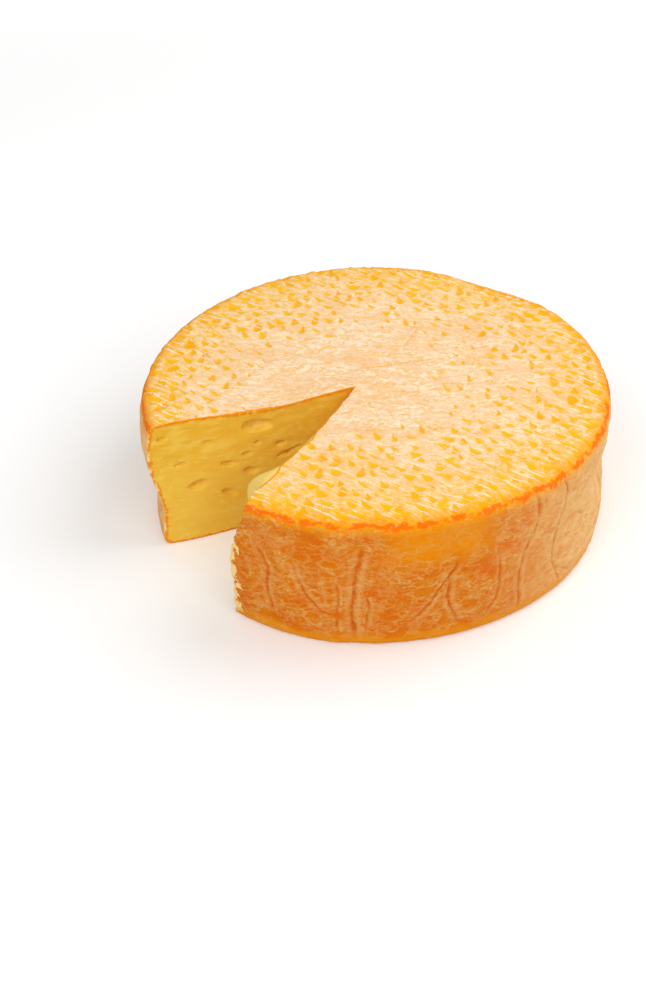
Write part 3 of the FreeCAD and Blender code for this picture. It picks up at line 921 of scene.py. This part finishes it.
def pasteColour(tree, marks):
    # smears and bright scraps, openings painted darker low down as painted shade and paler higher up as
    # painted light, the top of the lip painted pale as painted light, the lower walls painted paler as
    # painted light, more orange near the apex as painted shade, and the rind's ragged edge round it
    tones = pasteColours
    place, height = marks["place"], marks["height"]
    scraps = cloud(tree, place, "pasteScraps")
    # paler on smears, and paler low down on the walls: painted light where the other wall shades them
    smearsAndLowWallLight = calc(tree, "MAXIMUM", cloud(tree, place, "pasteSmears"),
                   multiply(tree, ease(tree, height, 46.0, 26.0), 0.6))
    # more orange towards the apex where the walls meet: painted shade, mixed with the random warm patches
    apexShade = ease(tree, axis(tree, marks["sideMap"], 2), 30.0, 8.0)
    patchesAndApexShade = calc(tree, "MAXIMUM", multiply(tree, cloud(tree, place, "pastePatches"), 0.25),
                  multiply(tree, apexShade, 0.7))
    # openings are painted darker low down as painted shade in their recesses and paler higher up as painted
    # light shining into them
    hollowShadeAndLight = blendColours(tree, ease(tree, height, 34.0, 42.0), tones["hollow"], tones["litHollow"])
    # the top of the soft lip is painted pale: painted light where it faces up into the light
    lip = multiply(tree, ease(tree, readMark(tree, "lipWay"), 0.2, 1.2),
                   ease(tree, scaleAdd(tree, scraps, 10.0, height), 40.0, 52.0))
    edge = scaleAdd(tree, centred(tree, cloud(tree, place, "rindLine")), 3.2, marks["cutWay"])
    line = multiply(tree, ease(tree, edge, 1.5, 0.8), calc(tree, "SUBTRACT", 1.0, lip))
    paste = blendColours(tree, smearsAndLowWallLight, tones["paste"], tones["pale"])
    return paintLayers(tree, paste, [
        (patchesAndApexShade, 1.0, tones["warm"]),
        (ease(tree, scraps, 0.60, 0.70), 0.5, tones["bright"]),
        (ease(tree, marks["hollow"], 0.8, 2.8), 0.55, hollowShadeAndLight),
        (lip, 0.9, tones["lip"]),
        (line, 1.0, tones["rindLine"]),
    ])


def tornMask(tree, marks):
    # pale scraps where the rind of the side was torn rather than cut
    place = marks["place"]
    nearCut = ease(tree, awayFrom(tree, marks["cutWay"], -0.4), 1.7, 0.7)
    outside = ease(tree, axis(tree, marks["sideMap"], 2), 80.0, 84.0)
    torn = multiply(tree, nearCut, cloud(tree, place, "torn"), outside)
    outer = scaleAdd(tree, centred(tree, cloud(tree, place, "tornScraps")), 16.0, marks["tornWay"])
    torn = calc(tree, "MAXIMUM", torn, ease(tree, outer, 5.5, 6.1))
    return multiply(tree, torn, ease(tree, marks["height"], 2.0, 6.0))


# How the cheese's surface takes the light, and the fine relief that the mesh is too coarse for.
finish = {
    "Roughness": 0.6,
    "Specular IOR Level": 0.04,
    "Subsurface Weight": 0.06,
    "Subsurface Radius": (1.0, 0.5, 0.2),
    "Subsurface Scale": 1.5 * mm,
}
fineRelief = {"Strength": 0.5, "Distance": 0.25 * mm}


def cheeseMaterial():
    material = bpy.data.materials.new("washedRindCheese")
    material.use_nodes = True
    tree = material.node_tree
    shader = tree.nodes["Principled BSDF"]
    marks = readMarks(tree)
    onPaste = ease(tree, marks["cutWay"], -0.1, 0.25)
    whole = blendColours(tree, onPaste, rindColour(tree, marks), pasteColour(tree, marks))
    whole = paintLayers(tree, whole, [(tornMask(tree, marks), 0.85, pasteColours["torn"])])
    fine = calc(tree, "ADD", cloud(tree, marks["place"], "grain"), cloud(tree, marks["place"], "weave"))
    bump = addNode(tree, "ShaderNodeBump", {"Height": fine, **fineRelief})
    tree.links.new(whole, shader.inputs["Base Color"])
    tree.links.new(bump.outputs[0], shader.inputs["Normal"])
    for name, value in finish.items():
        shader.inputs[name].default_value = value
    return material


stageValues = {
    "floorSize": 6.0,
    "floorColour": (0.90, 0.90, 0.895, 1.0),
    "floorGlow": 0.13,   # what the floor adds for the camera alone, so that it reads as white
    "farGlow": 0.30,     # the same far away from the cheese
    "farRange": (0.10, 0.26),
    "horizonGlow": 0.6,  # added to it towards the horizon
    "horizonRange": (0.4, 1.3),
    "skyLight": 0.45,
}


def whiteForCamera(tree, plain, seen):
    # the second number where the camera or a mirror looks, the first one for the light
    path = tree.nodes.new("ShaderNodeLightPath").outputs
    looked = calc(tree, "MAXIMUM", path["Is Camera Ray"], path["Is Glossy Ray"])
    looked = calc(tree, "MAXIMUM", looked, path["Is Transmission Ray"])
    return scaleAdd(tree, looked, seen - plain, plain)


def makeStage():
    bpy.ops.mesh.primitive_plane_add(size=stageValues["floorSize"], location=(0, 0, 0))
    floor = bpy.context.object
    floor.name = "paleFloor"
    material = bpy.data.materials.new("paleFloor")
    material.use_nodes = True
    tree = material.node_tree
    shader = tree.nodes["Principled BSDF"]
    shader.inputs["Base Color"].default_value = stageValues["floorColour"]
    shader.inputs["Roughness"].default_value = 0.7
    shader.inputs["Specular IOR Level"].default_value = 0.1
    shader.inputs["Emission Color"].default_value = (1, 1, 1, 1)
    away = calcVector(tree, "LENGTH", tree.nodes.new("ShaderNodeTexCoord").outputs["Object"])
    near, far = stageValues["floorGlow"], stageValues["farGlow"]
    glow = scaleAdd(tree, ease(tree, away, *stageValues["farRange"]), far - near, near)
    glow = scaleAdd(tree, ease(tree, away, *stageValues["horizonRange"]), stageValues["horizonGlow"], glow)
    tree.links.new(multiply(tree, whiteForCamera(tree, 0.0, 1.0), glow), shader.inputs["Emission Strength"])
    floor.data.materials.append(material)

    world = bpy.data.worlds.new("studio")
    bpy.context.scene.world = world
    world.use_nodes = True
    tree = world.node_tree
    sky = tree.nodes["Background"]
    sky.inputs["Color"].default_value = (1, 1, 1, 1)
    tree.links.new(whiteForCamera(tree, stageValues["skyLight"], 1.0), sky.inputs["Strength"])


# Each lamp's name, place and aim in m, size in m and power.
lamps = [
    ("keyLamp", (0.52, 0.14, 0.72), (0, 0, 0.03), 0.7, 2.9),
    ("fillLamp", (0.30, -0.80, 0.75), (0, 0, 0.03), 0.9, 2.75),
    ("gapLamp", (-0.385, -0.724, 0.74), (-0.03, -0.02, 0.03), 0.6, 3.1),
]


def makeLamps():
    for name, place, aim, size, power in lamps:
        bpy.ops.object.light_add(type="AREA", location=place)
        lamp = bpy.context.object
        lamp.name = name
        lamp.rotation_euler = (Vector(aim) - Vector(place)).to_track_quat("-Z", "Y").to_euler()
        lamp.data.shape = "DISK"
        lamp.data.size = size
        lamp.data.energy = power


cameraValues = {
    "target": (-21.06, -1.88, 0.0),  # mm
    "distance": 630.0,
    "elevation": 37.97,
    "roll": -1.6525,
    "lens": 54.71,
    "nearEnd": 0.01,
}


def makeCamera():
    level, rise = heading(cameraValues["elevation"])
    back = Vector((0, -level, rise))
    target = Vector(cameraValues["target"]) * mm
    bpy.ops.object.camera_add(location=target + back * cameraValues["distance"] * mm)
    camera = bpy.context.object
    roll = Matrix.Rotation(math.radians(cameraValues["roll"]), 3, "Z")
    camera.rotation_euler = ((-back).to_track_quat("-Z", "Y").to_matrix() @ roll).to_euler()
    camera.data.lens = cameraValues["lens"]
    camera.data.clip_start = cameraValues["nearEnd"]
    bpy.context.scene.camera = camera


guide = copyNode(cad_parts["cheese_wheel"], "cutGuide")
guideCut = findCut(guide)
print("cut edge has", len(guideCut[1]), "points, rind faces", sum(guideCut[0]), "of", len(guideCut[0]))
cheese = makeCheese(guide)
cheese.data.materials.clear()
cheese.data.materials.append(cheeseMaterial())
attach(cheese, "root")
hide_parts("cheese_wheel")
bpy.data.objects.remove(guide)
print("cheese finished")

makeStage()
makeLamps()
makeCamera()
bpy.context.scene.view_settings.view_transform = "Standard"
print("stage, lamps and camera set")
